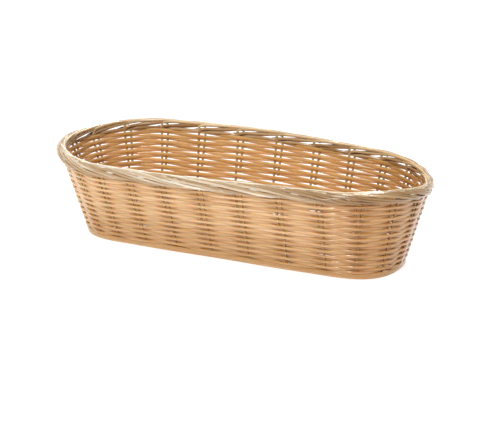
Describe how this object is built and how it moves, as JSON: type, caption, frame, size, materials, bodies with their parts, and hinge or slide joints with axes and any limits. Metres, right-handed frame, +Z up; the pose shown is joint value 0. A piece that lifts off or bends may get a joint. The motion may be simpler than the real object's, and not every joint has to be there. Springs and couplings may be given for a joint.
{
  "type": "bread basket",
  "caption": "Oblong open bread basket with a flared plain-weave wall on paired stakes, a woven oval base and a rolled border.",
  "frame": {"origin": "middle of the underside", "axes": "+X along the basket's length, +Y across it, +Z up"},
  "size_m": [0.3798, 0.157, 0.0875],
  "materials": {
    "weaver": "satin, slightly translucent, honey to peach orange",
    "stake": "satin, olive brown",
    "border": "satin, tan with streaks"
  },
  "bodies": {
    "root": {"side_weave_row_01": "weaver", "side_weave_row_02": "weaver", "side_weave_row_03": "weaver", "side_weave_row_04": "weaver", "side_weave_row_05": "weaver", "side_weave_row_06": "weaver", "side_weave_row_07": "weaver", "side_weave_row_08": "weaver", "side_weave_row_09": "weaver", "side_weave_row_10": "weaver", "side_weave_row_11": "weaver", "side_weave_row_12": "weaver", "side_weave_row_13": "weaver", "side_weave_row_14": "weaver", "side_weave_row_15": "weaver", "side_weave_row_16": "weaver", "side_weave_row_17": "weaver", "side_weave_row_18": "weaver", "side_weave_row_19": "weaver", "side_weave_row_20": "weaver", "side_weave_row_21": "weaver", "side_weave_row_22": "weaver", "side_weave_row_23": "weaver", "side_weave_row_24": "weaver", "side_weave_row_25": "weaver", "side_weave_row_26": "weaver", "side_weave_row_27": "weaver", "side_weave_row_28": "weaver", "base_weave": "weaver", "stake_pair_01": "stake", "stake_pair_02": "stake", "stake_pair_03": "stake", "stake_pair_04": "stake", "stake_pair_05": "stake", "stake_pair_06": "stake", "stake_pair_07": "stake", "stake_pair_08": "stake", "stake_pair_09": "stake", "stake_pair_10": "stake", "stake_pair_11": "stake", "stake_pair_12": "stake", "stake_pair_13": "stake", "stake_pair_14": "stake", "stake_pair_15": "stake", "stake_pair_16": "stake", "stake_pair_17": "stake", "stake_pair_18": "stake", "stake_pair_19": "stake", "stake_pair_20": "stake", "stake_pair_21": "stake", "stake_pair_22": "stake", "stake_pair_23": "stake", "stake_pair_24": "stake", "stake_pair_25": "stake", "stake_pair_26": "stake", "base_sticks": "stake", "base_spine": "stake", "border_inner_course": "border", "border_outer_course": "border", "border_cap_course": "border"}
  },
  "joints": []
}
